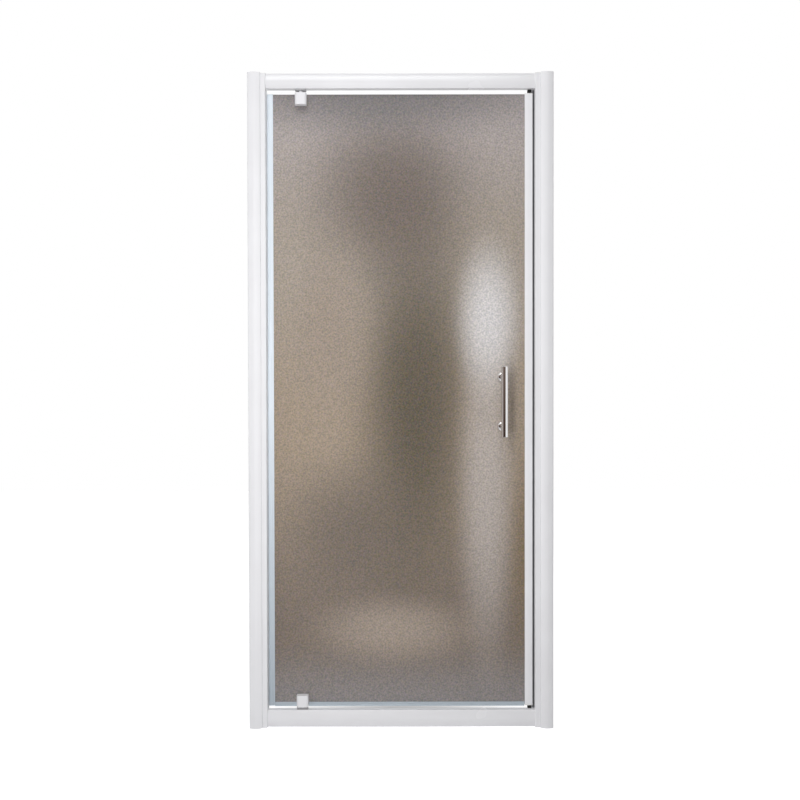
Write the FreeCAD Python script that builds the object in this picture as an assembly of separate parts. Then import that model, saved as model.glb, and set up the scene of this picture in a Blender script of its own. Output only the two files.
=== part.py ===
import FreeCAD, Part
import os
from math import sin, tan

Vector = FreeCAD.Vector

# Pivot shower door, seen from outside: X runs to the right, -Y towards the bather who
# comes in, Z up. The origin is the middle of the threshold rail's underside, on the
# plane of the pivot pins. Sizes are in millimetres.

# ---- Whole door, with both wall profiles pushed fully in ----
overall_width = 860.0
overall_height = 1850.0
wall_front_y = -24.5            # crest of the wall profiles, ahead of the pivot pins

# ---- Wall profiles: channels screwed to the walls, in which the jambs slide ----
wall_face_width = 36.0
wall_skin = 1.8
wall_web = 2.0                  # part that lies on the wall
crown_radius = 42.0             # arched front
crest_inset = 17.0              # crest of the front, from the wall
wall_corner_radius = 3.5        # front corner towards the wall
lip_radius = 2.0                # front corner over the jamb
lip_wall = 4.0                  # material beside the front chamber, at the lip
chamber_corner_radius = 1.5
slide_gap = 0.3                 # between jamb and wall profile, front and back
adjustment = 20.0               # travel of each wall profile
wall_hole_radius = 2.6
wall_hole_inset = 125.0         # first and last wall screw hole, from the ends
chamber_plug_depth = 8.0
chamber_plug_gap = 0.1

# ---- Jambs: channels open towards the wall ----
jamb_show = 14.5                # strip seen beside the wall profile
jamb_setback = 9.0              # front, behind the crest of the wall profiles
jamb_depth = 35.5
jamb_skin = 1.6
jamb_width = 44.5
jamb_front_radius = 3.0
jamb_back_radius = 1.5
jamb_cap_thickness = 1.5
cap_tongue_depth = 8.0
cap_tongue_thickness = 1.5
cap_tongue_width = 14.0
cap_tongue_place = 16.0         # from the jamb's inner face
stop_lip_reach = 7.5            # lip behind the closing edge of the door
stop_lip_thickness = 1.8
lock_rib_thickness = 2.5
lock_rib_width = 10.0

# ---- Rails, between the jambs ----
rail_setback = 11.5             # crest, behind the crest of the wall profiles
rail_depth = 24.0
threshold_height = 48.0
top_rail_height = 42.0
rail_bulge = 6.0                # crest ahead of the rail's front edges
rail_edge_radius = 1.2
rail_skin = 1.8
rail_web = 1.5
port_y = -3.0                   # screw ports in the rail's hollow
port_wall = 1.65
port_mouth = 1.6

# ---- Screws ----
rail_screw_radius = 2.0
rail_screw_length = 26.0
rail_head_radius = 3.0
rail_head_height = 2.2
lock_screw_radius = 2.0
lock_screw_length = 11.0
lock_head_radius = 4.0
lock_head_height = 2.4
lock_head_gap = 0.2             # under the head, so that the wall profile slides
lock_screw_inset = 4.5          # from the jamb's open edge
lock_screw_end = 200.0          # first and last lock screw, from the ends
pan_head_bevel = 0.8
screw_fit = 0.05                # radial clearance of a screw in what it bites
screw_clearance = 0.3           # radial clearance of a screw in what it passes
screw_end_gap = 1.0             # a screw's point, short of the bottom of its hole

# ---- Door leaf ----
pivot_inset = 98.0              # pivot pins, from the hinge jamb's inner face
glass_threshold_gap = 10.0      # above the threshold rail
glass_top_gap = 11.5            # below the top rail
glass_thickness = 5.0
glass_arris = 0.6
glass_hinge_gap = 11.0          # glass edge to hinge jamb
edge_jamb_gap = 5.0             # closing edge profile to strike jamb

# ---- Pivot blocks, clamped to the glass ----
block_width = 33.0
block_height = 33.5
block_rise = 0.5                # top block above the glass's top edge
block_depth = 19.0
block_bevel = 2.0
clamp_gasket = 1.0
clamp_plate_thickness = 6.0
clamp_plate_bevel = 1.5
clamp_hole_inset = 16.0         # from the glass's top or bottom edge
clamp_hole_spacing = 18.0
glass_hole_radius = 5.0
sleeve_fit = 0.1
clamp_screw_radius = 2.5
clamp_screw_bite = 11.0         # length in the block
clamp_head_radius = 4.8
clamp_head_height = 2.6

# ---- Pivots ----
pin_radius = 4.0
pin_run_gap = 0.05              # radial clearance in the bush
pin_in_block = 18.0
pin_in_bush = 14.0
bush_plate_width = 31.0
bush_plate_front = 6.5          # ahead of the pin's axis
bush_plate_back = 9.0           # behind the pin's axis
bush_plate_thickness = 5.0
bush_plate_radius = 4.0
bush_spigot_radius = 5.6
bush_spigot_length = 11.0
bush_screw_radius = 1.75
bush_screw_length = 12.0
bush_screw_spacing = 23.0
bush_head_radius = 3.2
bush_head_height = 1.7
bottom_block_lift = 2.5         # underside of the block above the bush plate
washer_run_gap = 0.2
washer_radius = 7.5
boss_base_radius = 7.0          # cone on the top block, around the pin
boss_top_radius = 4.9
boss_run_gap = 0.3

# ---- Closing edge profile and its seals ----
edge_width = 22.0
edge_front_y = 2.5
edge_back_y = 17.7
edge_bulge = 1.5
edge_radius = 1.5
edge_skin = 1.5
edge_top_overhang = 0.5         # past the glass's top edge
edge_bottom_overhang = 1.0      # past the glass's bottom edge
edge_cap_height = 3.4
edge_tongue_depth = 14.0
edge_tongue_gap = 0.15
edge_grip = 11.5                # glass held in the channel
edge_gasket = 0.8
edge_pocket_wall = 1.2
slot_mouth = 4.5                # slot for a magnet strip
slot_width = 6.8
slot_depth = 2.8
slot_y = 13.0
strip_head_width = 8.6
strip_fit = 0.1
door_strip_head = 2.3
strike_strip_head = 1.6
strike_strip_end_gap = 0.3
pad_width = 10.0                # rubber pad on each end of the profile
pad_side = 4.0                  # from the profile's closing side
pad_front_gap = 1.8
pad_back_gap = 1.0
pad_rail_gap = 0.8

# ---- Clear seals on the glass ----
seal_skin = 1.2
seal_jamb_gap = 0.8
seal_grip = 7.0                 # over the glass at the hinge side
seal_top_overhang = 0.5
seal_bottom_overhang = 3.0
bulb_depth = 8.0
bulb_radius = 3.5
rib_height = 0.6                # two ribs along the front of the side seal
rib_width = 1.0
drip_grip = 7.5                 # over the glass at the bottom
drip_rail_gap = 6.0
drip_fin = 1.0
drip_lean = 1.5
seal_end_gap = 0.5              # between the end of one seal and the next piece

# ---- Handle ----
handle_edge_distance = 85.0     # bar's axis from the closing edge
handle_z = 924.0
handle_length = 198.0
handle_radius = 9.5
handle_bevel = 0.8
handle_standoff = 55.0          # glass to the bar's axis
post_spacing = 141.0
post_neck_radius = 6.0
rosette_radius = 15.5
rosette_rim = 1.5
rosette_height = 10.0
dome_shoulder_radius = 12.5
dome_shoulder_height = 6.0
handle_gasket = 0.8
gasket_inset = 1.0              # rim of a gasket, inside the rim of what stands on it
handle_hole_radius = 5.0
inner_cap_radius = 12.0
inner_cap_height = 5.0
inner_cap_bevel = 1.5
handle_screw_radius = 2.5
handle_screw_bite = 15.0
handle_head_radius = 4.6
handle_head_height = 2.5
stud_radius = 2.5
stud_in_post = 10.0
stud_in_bar = 6.0

# ---- Drawing aids ----
cut_past = 1.0                  # how far a cutting tool reaches past what it cuts
on_plane = 1e-4                 # how near a point lies to count as on a plane

# ---- Places that follow from the sizes ----
half_width = overall_width / 2
mid_height = overall_height / 2
jamb_inner_x = half_width - wall_face_width - jamb_show
jamb_outer_x = jamb_inner_x + jamb_width
wall_lip_x = half_width - wall_face_width
jamb_front_y = wall_front_y + jamb_setback
channel_front_y = jamb_front_y - slide_gap
chamber_back_y = channel_front_y - wall_skin
jamb_back_y = jamb_front_y + jamb_depth
jamb_top_z = overall_height - jamb_cap_thickness
channel_back_y = jamb_back_y + slide_gap
wall_back_y = channel_back_y + wall_skin
crest_x = half_width - crest_inset
lock_screw_x = jamb_outer_x - lock_screw_inset
lock_screw_heights = (lock_screw_end, mid_height, overall_height - lock_screw_end)
wall_hole_y = (channel_front_y + channel_back_y) / 2
wall_hole_heights = (wall_hole_inset, mid_height, overall_height - wall_hole_inset)

rail_front_y = wall_front_y + rail_setback
rail_edge_y = rail_front_y + rail_bulge
rail_back_y = rail_front_y + rail_depth
port_radius = rail_screw_radius + screw_fit
port_inset = rail_skin + port_radius + port_wall / 2
top_rail_z = overall_height - top_rail_height
rail_screw_heights = (
    port_inset, threshold_height / 2, overall_height - top_rail_height / 2, overall_height - port_inset,
)

pivot_x = pivot_inset - jamb_inner_x
block_back_y = block_depth / 2
glass_front_y = block_back_y + clamp_gasket
glass_back_y = glass_front_y + glass_thickness
glass_mid_y = (glass_front_y + glass_back_y) / 2
plate_front_y = glass_back_y + clamp_gasket
plate_back_y = plate_front_y + clamp_plate_thickness
glass_left_x = glass_hinge_gap - jamb_inner_x
glass_bottom_z = threshold_height + glass_threshold_gap
glass_top_z = top_rail_z - glass_top_gap
bottom_plate_z = threshold_height + bush_plate_thickness
top_plate_z = top_rail_z - bush_plate_thickness
bottom_block_z = bottom_plate_z + bottom_block_lift
top_block_z = glass_top_z + block_rise - block_height
clamp_heights = (glass_bottom_z + clamp_hole_inset, glass_top_z - clamp_hole_inset)
clamp_sides = (pivot_x - clamp_hole_spacing / 2, pivot_x + clamp_hole_spacing / 2)

edge_right_x = jamb_inner_x - edge_jamb_gap
edge_left_x = edge_right_x - edge_width
glass_right_x = edge_left_x + edge_grip
edge_bottom_z = glass_bottom_z - edge_bottom_overhang
edge_top_z = glass_top_z + edge_top_overhang
handle_x = edge_right_x - handle_edge_distance
post_heights = (handle_z - post_spacing / 2, handle_z + post_spacing / 2)
bar_y = glass_front_y - handle_standoff


# ---- Small helpers ----
def rounded_wire(corners):
    """Closed wire in the XY plane from (x, y, radius) corners; radius 0 stays sharp."""
    points = [Vector(x, y, 0) for x, y, _ in corners]
    bends = []
    for i, (_, _, radius) in enumerate(corners):
        here = points[i]
        back = (points[i - 1] - here).normalize()
        ahead = (points[(i + 1) % len(points)] - here).normalize()
        half = back.getAngle(ahead) / 2
        reach = radius / tan(half)
        middle = here + (back + ahead).normalize() * (radius / sin(half) - radius)
        bends.append((here + back * reach, middle, here + ahead * reach, radius))
    edges = []
    for i, (start, middle, end, radius) in enumerate(bends):
        if radius > 0:
            edges.append(Part.Arc(start, middle, end).toShape())
        following = bends[(i + 1) % len(bends)][0]
        if end.distanceToPoint(following) > on_plane:
            edges.append(Part.makeLine(end, following))
    return Part.Wire(edges)


def rounded_face(corners):
    return Part.Face(rounded_wire(corners))


def rectangle(x0, y0, x1, y1, radius=0.0):
    return rounded_face([(x0, y0, radius), (x1, y0, radius), (x1, y1, radius), (x0, y1, radius)])


def disc(radius, x, y):
    return Part.Face(Part.Wire([Part.makeCircle(radius, Vector(x, y, 0))]))


def drawn(section, along):
    """One solid, drawn from all the touching faces of a section."""
    lengths = [face.extrude(along) for face in section.Faces]
    if len(lengths) == 1:
        return lengths[0]
    return lengths[0].fuse(lengths[1:]).removeSplitter().Solids[0]


def upright(section, z0, z1):
    """A section laid out in plan, drawn up from z0 to z1."""
    lifted = section.copy()
    lifted.translate(Vector(0, 0, z0))
    return drawn(lifted, Vector(0, 0, z1 - z0))


def lengthwise(section, x0, x1):
    """A section laid out as (y, z) points in the XY plane, drawn along X from x0 to x1."""
    turned = section.copy()
    turned.rotate(Vector(0, 0, 0), Vector(1, 1, 1), 120)
    turned.translate(Vector(x0, 0, 0))
    return drawn(turned, Vector(x1 - x0, 0, 0))


def box(x0, y0, z0, x1, y1, z1):
    return Part.makeBox(x1 - x0, y1 - y0, z1 - z0, Vector(x0, y0, z0))


def rod_x(radius, x0, x1, y, z):
    return Part.makeCylinder(radius, x1 - x0, Vector(x0, y, z), Vector(1, 0, 0))


def rod_y(radius, x, y0, y1, z):
    return Part.makeCylinder(radius, y1 - y0, Vector(x, y0, z), Vector(0, 1, 0))


def rod_z(radius, x, y, z0, z1):
    return Part.makeCylinder(radius, z1 - z0, Vector(x, y, z0), Vector(0, 0, 1))


def mirror_side(shape):
    """The same piece on the other side of the doorway."""
    return shape.mirror(Vector(0, 0, 0), Vector(1, 0, 0))


def mirror_height(shape):
    """The same piece at the other end of the door's height."""
    return shape.mirror(Vector(0, 0, mid_height), Vector(0, 0, 1))


def edges_near(shape, test):
    """Edges whose two ends and middle all pass the test."""
    chosen = []
    for edge in shape.Edges:
        ends = [edge.valueAt(edge.FirstParameter), edge.valueAt(edge.LastParameter)]
        if all(test(point) for point in ends + [edge.CenterOfMass]):
            chosen.append(edge)
    return chosen


# ---- Wall profiles ----
def crown_body(inset, left, back, left_radius, right_radius, z0, z1):
    """Length of the arched front from left to the wall side, with its corners rounded."""
    right = half_width - inset
    arch = disc(crown_radius - inset, crest_x, wall_front_y + crown_radius)
    body = upright(arch.common(rectangle(left, wall_front_y, right, back)), z0, z1)
    for x, radius in ((left, left_radius), (right, right_radius)):
        corner = edges_near(body, lambda p: abs(p.x - x) < on_plane and p.y < back - on_plane)
        body = body.makeFillet(radius, corner)
    return body


def chamber(gap, z0, z1):
    """Room behind the arched front, less a gap all round."""
    radius = chamber_corner_radius
    left = wall_lip_x + lip_wall + gap
    return crown_body(wall_skin + gap, left, chamber_back_y - gap, radius, radius, z0, z1)


def right_wall_profile():
    """Hollow arched front, lip over the jamb, web on the wall and flange behind."""
    profile = crown_body(
        0, wall_lip_x, wall_back_y, lip_radius, wall_corner_radius, 0, overall_height
    )
    profile = profile.cut(chamber(0, -cut_past, overall_height + cut_past))
    channel = rectangle(
        wall_lip_x - cut_past, channel_front_y, half_width - wall_web, channel_back_y
    )
    profile = profile.cut(upright(channel, -cut_past, overall_height + cut_past))
    for z in wall_hole_heights:
        hole = rod_x(wall_hole_radius, half_width - 2 * wall_web, half_width + wall_web, wall_hole_y, z)
        profile = profile.cut(hole)
    for z in lock_screw_heights:
        profile = profile.cut(lock_slot(z))
    return profile


def lock_slot(z):
    """Slot in the rear flange, along which the lock screw stands as the profile moves."""
    radius = lock_screw_radius + screw_clearance
    y0 = wall_back_y - 2 * wall_skin
    y1 = wall_back_y + wall_skin
    outer = rod_y(radius, lock_screw_x, y0, y1, z)
    inner = rod_y(radius, lock_screw_x - adjustment, y0, y1, z)
    middle = box(lock_screw_x - adjustment, y0, z - radius, lock_screw_x, y1, z + radius)
    return outer.fuse([inner, middle])


def right_wall_plug():
    """Plug flush in the top of the front chamber."""
    return chamber(chamber_plug_gap, overall_height - chamber_plug_depth, overall_height)


# ---- Jambs ----
def jamb_section():
    """Right jamb: front wall, inner wall and back wall, open towards the wall."""
    outside = rounded_face([
        (jamb_inner_x, jamb_front_y, jamb_front_radius),
        (jamb_outer_x, jamb_front_y, 0),
        (jamb_outer_x, jamb_back_y, 0),
        (jamb_inner_x, jamb_back_y, jamb_back_radius),
    ])
    hollow = rounded_face([
        (jamb_inner_x + jamb_skin, jamb_front_y + jamb_skin, jamb_front_radius - jamb_skin),
        (jamb_outer_x + jamb_skin, jamb_front_y + jamb_skin, 0),
        (jamb_outer_x + jamb_skin, jamb_back_y - jamb_skin, 0),
        (jamb_inner_x + jamb_skin, jamb_back_y - jamb_skin, 0),
    ])
    rib_back = jamb_back_y - jamb_skin
    rib = rectangle(
        jamb_outer_x - lock_rib_width, rib_back - lock_rib_thickness, jamb_outer_x, rib_back + jamb_skin / 2
    )
    return outside.cut(hollow).fuse(rib)


def slot_pocket(mouth_x, depth_sign, skin):
    """Mouth and undercut of a magnet strip's slot, from a wall's outside at mouth_x."""
    wall_x = mouth_x + depth_sign * skin
    floor_x = wall_x + depth_sign * slot_depth
    mouth = rectangle(
        min(mouth_x, wall_x), slot_y - slot_mouth / 2, max(mouth_x, wall_x), slot_y + slot_mouth / 2
    )
    pocket = rectangle(
        min(wall_x, floor_x), slot_y - slot_width / 2, max(wall_x, floor_x), slot_y + slot_width / 2
    )
    return mouth.fuse(pocket)


def drilled_jamb(section):
    """The jamb's length, with holes for the rail screws and the lock screws."""
    jamb = upright(section, 0, jamb_top_z)
    for z in rail_screw_heights:
        hole = rod_x(
            rail_screw_radius + screw_clearance,
            jamb_inner_x - jamb_skin, jamb_inner_x + 2 * jamb_skin, port_y, z,
        )
        jamb = jamb.cut(hole)
    y0 = jamb_back_y - jamb_skin - lock_rib_thickness - cut_past
    for z in lock_screw_heights:
        hole = rod_y(lock_screw_radius + screw_fit, lock_screw_x, y0, jamb_back_y + cut_past, z)
        jamb = jamb.cut(hole)
    return jamb


def hinge_jamb():
    return mirror_side(drilled_jamb(jamb_section()))


def strike_jamb():
    """Jamb with the slot for its magnet strip and the lip that stops the door."""
    skin_x = jamb_inner_x + jamb_skin
    pocket_box = rectangle(
        skin_x - jamb_skin / 2, slot_y - slot_width / 2 - edge_pocket_wall,
        skin_x + slot_depth + edge_pocket_wall, slot_y + slot_width / 2 + edge_pocket_wall,
    )
    lip = rectangle(
        jamb_inner_x - stop_lip_reach, jamb_back_y - stop_lip_thickness,
        jamb_inner_x + 2 * jamb_back_radius, jamb_back_y,
    )
    section = jamb_section().fuse([pocket_box, lip]).cut(slot_pocket(jamb_inner_x, 1, jamb_skin))
    return drilled_jamb(section)


def strike_jamb_cap():
    """Plate on the jamb's top end, with two tongues inside its walls."""
    plate = rounded_face([
        (jamb_inner_x, jamb_front_y, jamb_front_radius),
        (jamb_outer_x, jamb_front_y, 0),
        (jamb_outer_x, jamb_back_y, 0),
        (jamb_inner_x, jamb_back_y, jamb_back_radius),
    ])
    cap = upright(plate, jamb_top_z, overall_height)
    tongue_x = jamb_inner_x + cap_tongue_place
    front = jamb_front_y + jamb_skin + chamber_plug_gap
    back = jamb_back_y - jamb_skin - chamber_plug_gap
    for y0, y1 in ((front, front + cap_tongue_thickness), (back - cap_tongue_thickness, back)):
        tongue = box(tongue_x, y0, jamb_top_z - cap_tongue_depth, tongue_x + cap_tongue_width, y1, jamb_top_z)
        cap = cap.fuse(tongue)
    return cap.removeSplitter()


# ---- Rails ----
def rail_outline(height, inset):
    """Section of a rail as (y, z) points: flat back, top and underside, bulged front."""
    edge = rail_edge_y + inset
    back = rail_back_y - inset
    low = inset
    high = height - inset
    corners = [Vector(edge, low, 0), Vector(back, low, 0), Vector(back, high, 0), Vector(edge, high, 0)]
    sides = [Part.makeLine(corners[i], corners[i + 1]) for i in range(3)]
    crest = Vector(rail_front_y + inset, height / 2, 0)
    front = Part.Arc(corners[3], crest, corners[0]).toShape()
    return Part.Face(Part.Wire(sides + [front]))


def rail_hollow(height):
    """What the die leaves empty: two rooms either side of a web, less the screw ports."""
    middle = height / 2
    web = rectangle(rail_front_y, middle - rail_web / 2, rail_back_y, middle + rail_web / 2)
    hollow = rail_outline(height, rail_skin).cut(web)
    for z in (port_inset, middle):
        hollow = hollow.cut(disc(port_radius + port_wall, port_y, z))
    mouth_y = port_y + port_radius + 2 * port_wall
    for z in (port_inset, middle):
        mouth = rectangle(port_y, z - port_mouth / 2, mouth_y, z + port_mouth / 2)
        hollow = hollow.fuse([disc(port_radius, port_y, z), mouth])
    return hollow


def rail(height):
    """Rail of the given height at the foot of the door, drilled for its pivot bush."""
    solid = lengthwise(rail_outline(height, 0), -jamb_inner_x, jamb_inner_x)
    front_edges = edges_near(solid, lambda p: abs(p.y - rail_edge_y) < on_plane)
    long_edges = [edge for edge in front_edges if edge.Length > height * 2]
    length = solid.makeFillet(rail_edge_radius, long_edges)
    for room in rail_hollow(height).Faces:
        length = length.cut(lengthwise(room, -jamb_inner_x, jamb_inner_x))
    top = height + cut_past
    spigot_low = height - bush_spigot_length
    length = length.cut(rod_z(bush_spigot_radius + sleeve_fit, pivot_x, 0, spigot_low, top))
    for x in bush_screw_places():
        wall_low = height - rail_skin - cut_past
        length = length.cut(rod_z(bush_screw_radius + screw_fit, x, 0, wall_low, top))
    return length


def bush_screw_places():
    return (pivot_x - bush_screw_spacing / 2, pivot_x + bush_screw_spacing / 2)


def countersunk_screw(radius, head_radius, head_height, length):
    """Screw along -Z with the flat of its head at z = 0."""
    head = Part.makeCone(radius, head_radius, head_height, Vector(0, 0, -head_height))
    shank = rod_z(radius, 0, 0, -length, -head_height / 2)
    return head.fuse(shank).removeSplitter()


def pan_screw(radius, head_radius, head_height, length):
    """Screw along -Z with the underside of its head at z = 0."""
    head = rod_z(head_radius, 0, 0, 0, head_height)
    rim = edges_near(head, lambda p: p.z > head_height - on_plane)
    head = head.makeChamfer(pan_head_bevel, rim)
    return head.fuse(rod_z(radius, 0, 0, -length, head_height / 2)).removeSplitter()


def rail_screws():
    """Eight screws, from inside the jambs into the ports of both rails."""
    screws = []
    for z in rail_screw_heights:
        screw = pan_screw(rail_screw_radius, rail_head_radius, rail_head_height, rail_screw_length)
        screw.rotate(Vector(0, 0, 0), Vector(0, 1, 0), 90)
        screw.translate(Vector(jamb_inner_x + jamb_skin, port_y, z))
        screws += [screw, mirror_side(screw)]
    return Part.makeCompound(screws)


def right_lock_screws():
    """Three screws through the wall profile's slots into the rib of the jamb."""
    screws = []
    for z in lock_screw_heights:
        screw = pan_screw(lock_screw_radius, lock_head_radius, lock_head_height, lock_screw_length)
        screw.rotate(Vector(0, 0, 0), Vector(1, 0, 0), -90)
        screw.translate(Vector(lock_screw_x, wall_back_y + lock_head_gap, z))
        screws.append(screw)
    return Part.makeCompound(screws)


# ---- Pivot bushes, in the rails ----
def pivot_bush(height):
    """Plate on a rail of the given height, with a spigot through its wall, bored for the pin."""
    plate_top = height + bush_plate_thickness
    plate = rectangle(
        pivot_x - bush_plate_width / 2, -bush_plate_front,
        pivot_x + bush_plate_width / 2, bush_plate_back, bush_plate_radius,
    )
    bush = upright(plate, height, plate_top)
    bush = bush.fuse(rod_z(bush_spigot_radius, pivot_x, 0, height - bush_spigot_length, height))
    bush = bush.cut(rod_z(pin_radius + pin_run_gap, pivot_x, 0, 0, plate_top + cut_past))
    for x in bush_screw_places():
        hole = countersunk_screw(
            bush_screw_radius + screw_fit, bush_head_radius + screw_fit, bush_head_height, bush_screw_length
        )
        hole.translate(Vector(x, 0, plate_top))
        bush = bush.cut(hole)
    return bush.removeSplitter()


def bush_screws():
    """Two countersunk screws in each bush plate."""
    screws = []
    for x in bush_screw_places():
        screw = countersunk_screw(bush_screw_radius, bush_head_radius, bush_head_height, bush_screw_length)
        low = screw.copy()
        low.translate(Vector(x, 0, bottom_plate_z))
        screw.rotate(Vector(0, 0, 0), Vector(1, 0, 0), 180)
        screw.translate(Vector(x, 0, top_plate_z))
        screws += [low, screw]
    return Part.makeCompound(screws)


def thrust_washer():
    """Nylon washer on the bottom bush, which carries the leaf."""
    low = bottom_plate_z
    top = bottom_block_z - washer_run_gap
    ring = rod_z(washer_radius, pivot_x, 0, low, top)
    return ring.cut(rod_z(pin_radius + pin_run_gap, pivot_x, 0, low - cut_past, top + cut_past))


# ---- Pivot blocks and their clamps ----
def pivot_block(base_z, clamp_z):
    """White block in front of the glass, with every edge bevelled."""
    half = block_width / 2
    top_z = base_z + block_height
    block = box(pivot_x - half, -block_back_y, base_z, pivot_x + half, block_back_y, top_z)
    seen = [e for e in block.Edges if e.CenterOfMass.y < block_back_y - on_plane]
    block = block.makeChamfer(block_bevel, seen)
    for x in clamp_sides:
        y0 = block_back_y - clamp_screw_bite - cut_past
        hole = rod_y(clamp_screw_radius + screw_fit, x, y0, block_back_y + cut_past, clamp_z)
        block = block.cut(hole)
    return block


def bottom_pivot_block():
    block = pivot_block(bottom_block_z, clamp_heights[0])
    return block.cut(rod_z(pin_radius, pivot_x, 0, bottom_block_z - cut_past, bottom_block_z + pin_in_block))


def top_pivot_block():
    """Block with a cone that stands around the pin, up to the bush plate."""
    block = pivot_block(top_block_z, clamp_heights[1])
    boss_top = top_plate_z - boss_run_gap
    block_top = top_block_z + block_height
    boss = Part.makeCone(
        boss_base_radius, boss_top_radius, boss_top - block_top, Vector(pivot_x, 0, block_top)
    )
    block = block.fuse(boss)
    return block.cut(rod_z(pin_radius, pivot_x, 0, block_top - pin_in_block, boss_top + cut_past))


def bottom_pivot_pin():
    low = bottom_plate_z - pin_in_bush
    return rod_z(pin_radius, pivot_x, 0, low, bottom_block_z + pin_in_block)


def top_pivot_pin():
    high = top_plate_z + pin_in_bush
    return rod_z(pin_radius, pivot_x, 0, top_block_z + block_height - pin_in_block, high)


def clamp_footprint(low_z):
    """Where a block or plate covers the glass: (x0, z0, x1, z1)."""
    half = block_width / 2 - block_bevel
    z0 = max(low_z, glass_bottom_z)
    z1 = min(low_z + block_height, glass_top_z)
    return pivot_x - half, z0, pivot_x + half, z1


def clamp_pad(low_z, clamp_z, y0, y1, radius):
    """Flat pad over the clamp's footprint with two holes of the given radius."""
    x0, z0, x1, z1 = clamp_footprint(low_z)
    pad = box(x0, y0, z0, x1, y1, z1)
    for x in clamp_sides:
        pad = pad.cut(rod_y(radius, x, y0 - cut_past, y1 + cut_past, clamp_z))
    return pad


def front_gasket(low_z, clamp_z):
    return clamp_pad(low_z, clamp_z, block_back_y, glass_front_y, glass_hole_radius)


def back_gasket(low_z, clamp_z):
    return clamp_pad(low_z, clamp_z, glass_back_y, plate_front_y, glass_hole_radius)


def clamp_plate(low_z, clamp_z):
    """Plate behind the glass, countersunk for the two clamp screws."""
    x0, z0, x1, z1 = clamp_footprint(low_z)
    plate = box(x0, plate_front_y, z0, x1, plate_back_y, z1)
    seen = [e for e in plate.Edges if e.CenterOfMass.y > plate_back_y - on_plane]
    plate = plate.makeChamfer(clamp_plate_bevel, seen)
    for x in clamp_sides:
        hole = countersunk_screw(
            clamp_screw_radius + screw_fit, clamp_head_radius + screw_fit, clamp_head_height, 2 * block_depth
        )
        hole.rotate(Vector(0, 0, 0), Vector(1, 0, 0), -90)
        hole.translate(Vector(x, plate_back_y, clamp_z))
        plate = plate.cut(hole)
    return plate


def clamp_screws():
    """Four countersunk screws, from the plates through the glass into the blocks."""
    length = plate_back_y - block_back_y + clamp_screw_bite
    screws = []
    for z in clamp_heights:
        for x in clamp_sides:
            screw = countersunk_screw(clamp_screw_radius, clamp_head_radius, clamp_head_height, length)
            screw.rotate(Vector(0, 0, 0), Vector(1, 0, 0), -90)
            screw.translate(Vector(x, plate_back_y, z))
            screws.append(screw)
    return Part.makeCompound(screws)


def sleeve(x, z, hole_radius, screw_radius):
    """Nylon tube that keeps a screw off the glass."""
    tube = rod_y(hole_radius - sleeve_fit, x, glass_front_y, glass_back_y, z)
    y0 = glass_front_y - cut_past
    return tube.cut(rod_y(screw_radius + sleeve_fit, x, y0, glass_back_y + cut_past, z))


def clamp_sleeves():
    tubes = [sleeve(x, z, glass_hole_radius, clamp_screw_radius) for z in clamp_heights for x in clamp_sides]
    return Part.makeCompound(tubes)


# ---- Glass ----
def glass_panel():
    """Pane with polished arrises, drilled for the clamps and the handle."""
    pane = box(glass_left_x, glass_front_y, glass_bottom_z, glass_right_x, glass_back_y, glass_top_z)
    outline = [e for e in pane.Edges if abs(e.CenterOfMass.y - glass_mid_y) > on_plane]
    pane = pane.makeChamfer(glass_arris, outline)
    y0 = glass_front_y - cut_past
    y1 = glass_back_y + cut_past
    holes = [rod_y(glass_hole_radius, x, y0, y1, z) for z in clamp_heights for x in clamp_sides]
    holes += [rod_y(handle_hole_radius, handle_x, y0, y1, z) for z in post_heights]
    for hole in holes:
        pane = pane.cut(hole)
    return pane


# ---- Closing edge of the leaf ----
def edge_outline(inset):
    """Outside of the edge profile in plan, moved inwards by inset; bulged front."""
    shoulder = edge_front_y + edge_bulge + inset
    left = edge_left_x + inset
    right = edge_right_x - inset
    back = edge_back_y - inset
    corners = [
        Vector(right, shoulder, 0), Vector(right, back, 0), Vector(left, back, 0), Vector(left, shoulder, 0)
    ]
    sides = [Part.makeLine(corners[i], corners[i + 1]) for i in range(3)]
    crest = Vector((left + right) / 2, edge_front_y + inset, 0)
    front = Part.Arc(corners[3], crest, corners[0]).toShape()
    return Part.Face(Part.Wire(sides + [front]))


def edge_front_room():
    """Hollow behind the bulged front of the edge profile."""
    back = glass_front_y - edge_gasket - edge_skin
    window = rectangle(edge_left_x, edge_front_y, edge_right_x, back)
    return edge_outline(edge_skin).common(window).Faces[0]


def edge_rooms():
    """Empty parts of the edge profile: glass channel, front room, strip slot, side room."""
    channel_front = glass_front_y - edge_gasket
    channel_back = glass_back_y + edge_gasket
    channel_floor = glass_right_x + edge_gasket
    channel = rectangle(edge_left_x - cut_past, channel_front, channel_floor, channel_back)
    pocket_back_x = edge_right_x - edge_skin - slot_depth - edge_pocket_wall
    side_room = rectangle(channel_floor + edge_skin, channel_front, pocket_back_x, channel_back)
    return channel, edge_front_room(), slot_pocket(edge_right_x, -1, edge_skin), side_room


def rounded_edge_body(z0, z1):
    """Length of the edge profile's outside, with its two front corners rounded."""
    solid = upright(edge_outline(0), z0, z1)
    shoulder = edge_front_y + edge_bulge
    corners = []
    for edge in edges_near(solid, lambda p: abs(p.y - shoulder) < on_plane):
        middle = edge.CenterOfMass
        if min(abs(middle.x - edge_left_x), abs(middle.x - edge_right_x)) < on_plane:
            corners.append(edge)
    return solid.makeFillet(edge_radius, corners)


def door_edge_profile():
    low = edge_bottom_z + edge_cap_height
    high = edge_top_z - edge_cap_height
    profile = rounded_edge_body(low, high)
    for room in edge_rooms():
        profile = profile.cut(upright(room, low, high))
    return profile


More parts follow.
